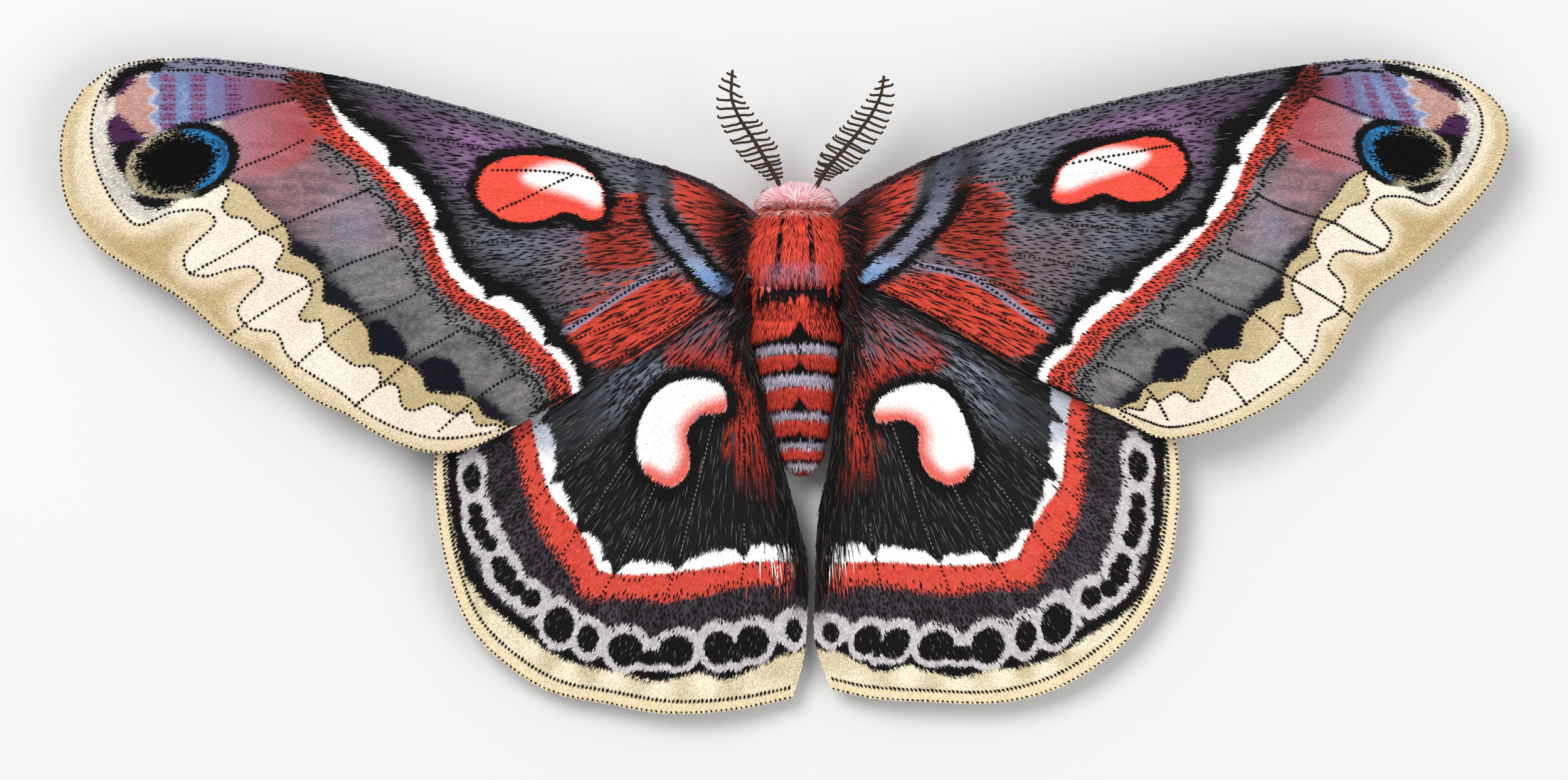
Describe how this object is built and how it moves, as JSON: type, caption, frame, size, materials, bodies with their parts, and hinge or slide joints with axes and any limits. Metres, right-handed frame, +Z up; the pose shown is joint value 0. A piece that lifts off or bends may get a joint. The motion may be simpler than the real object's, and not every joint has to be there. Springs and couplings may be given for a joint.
{
  "type": "cecropia moth",
  "caption": "Large moth at life size with four patterned wings spread flat, feathery feelers, a furry body and six legs standing on the floor.",
  "frame": {"origin": "on the floor, at the middle of the part's bounding box seen from above", "axes": "+Y towards the head, +X towards the animal's right wing tip, +Z up from the floor the legs stand on"},
  "size_m": [0.1502, 0.068, 0.0117],
  "materials": {
    "red_coat": "soft fur",
    "pale_coat": "soft fur",
    "banded_coat": "soft fur in rings",
    "fore_wing": "matt scales",
    "hind_wing": "matt scales",
    "feeler": "fine bristles",
    "leg_coat": "short fur",
    "eye_shell": "glossy facets"
  },
  "bodies": {
    "root": {"head": "pale_coat", "eye_left": "eye_shell", "eye_right": "eye_shell", "palp_left": "leg_coat", "palp_right": "leg_coat", "antenna_left": "feeler", "antenna_right": "feeler", "thorax": "red_coat", "abdomen": "banded_coat", "leg_fore_left": "leg_coat", "leg_fore_right": "leg_coat", "leg_mid_left": "leg_coat", "leg_mid_right": "leg_coat", "leg_hind_left": "leg_coat", "leg_hind_right": "leg_coat", "forewing_left": "fore_wing", "forewing_right": "fore_wing", "hindwing_left": "hind_wing", "hindwing_right": "hind_wing"}
  },
  "joints": []
}
